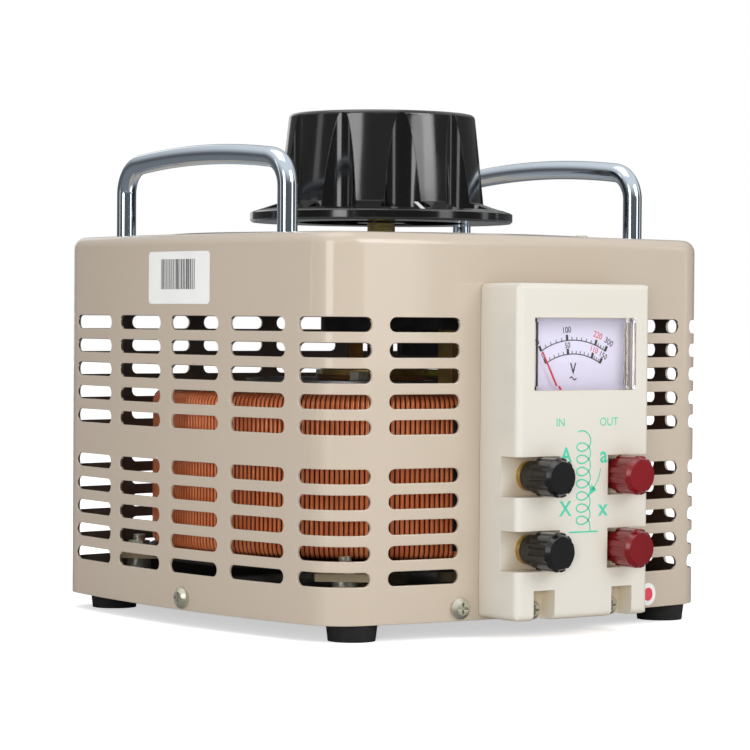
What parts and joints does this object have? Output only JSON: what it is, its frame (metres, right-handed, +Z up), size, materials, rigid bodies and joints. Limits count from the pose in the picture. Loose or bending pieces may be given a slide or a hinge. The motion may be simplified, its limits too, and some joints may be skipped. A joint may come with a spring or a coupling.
{
  "type": "variac autotransformer",
  "caption": "Bench variable autotransformer: slotted bowed steel case, fluted knob on top, carrying handles, front panel with voltmeter and binding posts.",
  "frame": {"origin": "on the knob's axis, on the plane that the feet stand on", "axes": "+Z up along the knob's axis, the terminal panel faces -Y, +X is the panel's right as one reads it"},
  "size_m": [0.2132, 0.2421, 0.2085],
  "materials": {
    "case_paint": "glossy greige enamel",
    "base_paint": "satin dark paint",
    "zinc": "bright zinc plate",
    "chrome": "polished chrome plate",
    "rubber": "matte black rubber",
    "bracket_paint": "satin beige paint",
    "core_steel": "dull rolled silicon steel",
    "phenolic_black": "matte moulded phenolic",
    "phenolic_brown": "satin paper phenolic",
    "copper_wire": "enamelled copper wire",
    "tape": "matte black tape",
    "aluminium": "machined aluminium",
    "black_casting": "satin black casting",
    "bronze": "oiled bronze",
    "brass": "bright brass",
    "shaft_steel": "ground steel",
    "carbon": "matte carbon",
    "knob_black": "glossy black phenolic",
    "panel_white": "glossy ivory plastic",
    "cap_black": "glossy black plastic",
    "cap_red": "glossy dark red plastic",
    "scale_card": "satin printed card",
    "clear_cover": "clear acrylic",
    "needle_red": "red paint",
    "coil_copper": "fine copper coil",
    "lead_sleeve": "yellow-green sleeve",
    "dial_print": "printed satin aluminium",
    "sticker": "white paper label"
  },
  "bodies": {
    "frame": {"base_plate": "base_paint", "case_cover": "case_paint", "rubber_feet": "rubber", "foot_screws": "zinc", "cover_screws": "zinc", "dial_plate": "dial_print", "dial_screws": "zinc", "handle_left": "chrome", "handle_right": "chrome", "handle_nuts": "zinc", "support_frame": "bracket_paint", "frame_spacers": "zinc", "frame_studs": "zinc", "frame_nuts": "zinc", "lower_insulator": "phenolic_black", "toroid_core": "core_steel", "core_end_caps": "phenolic_black", "winding": "copper_wire", "end_tapes": "tape", "clamp_insulator": "phenolic_brown", "clamp_disc": "aluminium", "clamp_bolts": "zinc", "lower_bush": "bronze", "upper_bush": "bronze", "slip_ring_seat": "phenolic_brown", "slip_ring": "brass", "stop_pin": "zinc", "panel_housing": "panel_white", "panel_screws": "zinc", "terminal_studs": "brass", "terminal_collars": "brass", "terminal_nuts": "brass", "meter_body": "panel_white", "meter_scale": "scale_card", "meter_movement": "coil_copper", "meter_cover": "clear_cover", "winding_leads": "lead_sleeve", "output_lead": "lead_sleeve", "case_label": "sticker", "round_sticker": "sticker"},
    "rotor": {"shaft": "shaft_steel", "shaft_collar": "shaft_steel", "shaft_sleeve": "phenolic_black", "brush_arm": "black_casting", "wiper_leaf": "bronze", "brush_holder": "brass", "brush_spring": "shaft_steel", "knob": "knob_black", "knob_insert": "brass", "knob_grub_screw": "shaft_steel"},
    "brush": {"carbon_brush": "carbon"},
    "needle": {"meter_needle": "needle_red"},
    "in_live_washer": {"washer_in_live": "brass"},
    "in_live_cap": {"cap_in_live": "cap_black"},
    "in_neutral_washer": {"washer_in_neutral": "brass"},
    "in_neutral_cap": {"cap_in_neutral": "cap_black"},
    "out_live_washer": {"washer_out_live": "brass"},
    "out_live_cap": {"cap_out_live": "cap_red"},
    "out_neutral_washer": {"washer_out_neutral": "brass"},
    "out_neutral_cap": {"cap_out_neutral": "cap_red"}
  },
  "joints": [
    {"name": "knob_turn", "type": "hinge", "parent": "frame", "child": "rotor", "pos_m": [0, 0, 0.15], "axis": [0, 0, -1], "range_deg": [0, 320]},
    {"name": "brush_slide", "type": "slide", "parent": "rotor", "child": "brush", "axis": [0, 0, 1], "range_m": [0, 0.003], "stiffness_N_per_m": 200, "springref_m": -0.006, "deforming": ["brush_spring"]},
    {"name": "needle_swing", "type": "hinge", "parent": "frame", "child": "needle", "pos_m": [0.0035, -0.1199, 0.0795], "axis": [0, 1, 0], "range_deg": [0, 58]},
    {"name": "in_live_travel", "type": "slide", "parent": "frame", "child": "in_live_washer", "axis": [0, -1, 0], "range_m": [0, 0.00401]},
    {"name": "in_live_unscrew", "type": "hinge", "parent": "in_live_washer", "child": "in_live_cap", "pos_m": [-0.017, -0.13, 0.0629], "axis": [0, -1, 0], "range_deg": [0, 1440]},
    {"name": "in_neutral_travel", "type": "slide", "parent": "frame", "child": "in_neutral_washer", "axis": [0, -1, 0], "range_m": [0, 0.00401]},
    {"name": "in_neutral_unscrew", "type": "hinge", "parent": "in_neutral_washer", "child": "in_neutral_cap", "pos_m": [-0.017, -0.13, 0.0343], "axis": [0, -1, 0], "range_deg": [0, 1440]},
    {"name": "out_live_travel", "type": "slide", "parent": "frame", "child": "out_live_washer", "axis": [0, -1, 0], "range_m": [0, 0.00401]},
    {"name": "out_live_unscrew", "type": "hinge", "parent": "out_live_washer", "child": "out_live_cap", "pos_m": [0.024, -0.13, 0.0629], "axis": [0, -1, 0], "range_deg": [0, 1440]},
    {"name": "out_neutral_travel", "type": "slide", "parent": "frame", "child": "out_neutral_washer", "axis": [0, -1, 0], "range_m": [0, 0.00401]},
    {"name": "out_neutral_unscrew", "type": "hinge", "parent": "out_neutral_washer", "child": "out_neutral_cap", "pos_m": [0.024, -0.13, 0.0343], "axis": [0, -1, 0], "range_deg": [0, 1440]}
  ],
  "couplings": [
    {"joint": "in_live_travel", "follows": "in_live_unscrew", "m_per_rad": 0.00015915},
    {"joint": "in_neutral_travel", "follows": "in_neutral_unscrew", "m_per_rad": 0.00015915},
    {"joint": "out_live_travel", "follows": "out_live_unscrew", "m_per_rad": 0.00015915},
    {"joint": "out_neutral_travel", "follows": "out_neutral_unscrew", "m_per_rad": 0.00015915}
  ]
}
